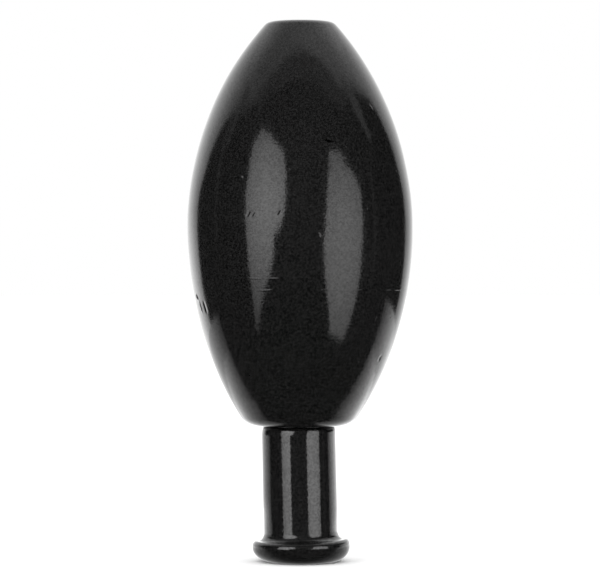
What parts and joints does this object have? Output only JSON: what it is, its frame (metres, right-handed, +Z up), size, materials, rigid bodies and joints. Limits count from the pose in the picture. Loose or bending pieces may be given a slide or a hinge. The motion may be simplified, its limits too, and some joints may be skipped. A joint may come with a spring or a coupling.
{
  "type": "dust blower bulb",
  "caption": "Hand-squeezed rubber blower bulb: a tapered egg-shaped air chamber with a flat inlet end, and a short neck with a beaded mouth for a nozzle.",
  "frame": {"origin": "centre of the mouth's flat lower face, on which the bulb stands", "axes": "+Z up the bulb's axis from mouth to inlet end; +X from the thumb wall to the finger wall; -Y is the side seen in front"},
  "size_m": [0.0428, 0.0428, 0.1028],
  "materials": {
    "rubber": "smooth glossy moulded black rubber, finely pitted",
    "valve_black": "turned black hard rubber, satin",
    "steel": "plain steel, lightly polished",
    "brass": "turned brass, slightly dulled"
  },
  "bodies": {
    "bulb": {"bulb_upper": "rubber", "bulb_lower": "rubber", "neck_sleeve": "rubber", "mouth_bead": "rubber", "valve_body": "valve_black", "valve_stop": "brass", "inlet_screen": "steel", "screen_ring": "brass"},
    "thumb_wall": {"thumb_wall": "rubber"},
    "finger_wall": {"finger_wall": "rubber"},
    "valve_ball": {"valve_ball": "steel"}
  },
  "joints": [
    {"name": "thumb_squeeze", "type": "slide", "parent": "bulb", "child": "thumb_wall", "axis": [1, 0, 0], "range_m": [0, 0.009], "stiffness_N_per_m": 550},
    {"name": "finger_squeeze", "type": "slide", "parent": "bulb", "child": "finger_wall", "axis": [-1, 0, 0], "range_m": [0, 0.009], "stiffness_N_per_m": 550},
    {"name": "ball_lift", "type": "slide", "parent": "bulb", "child": "valve_ball", "axis": [0, 0, 1], "range_m": [0, 0.0012]}
  ],
  "couplings": [
    {"joint": "finger_squeeze", "follows": "thumb_squeeze", "ratio": 1}
  ]
}
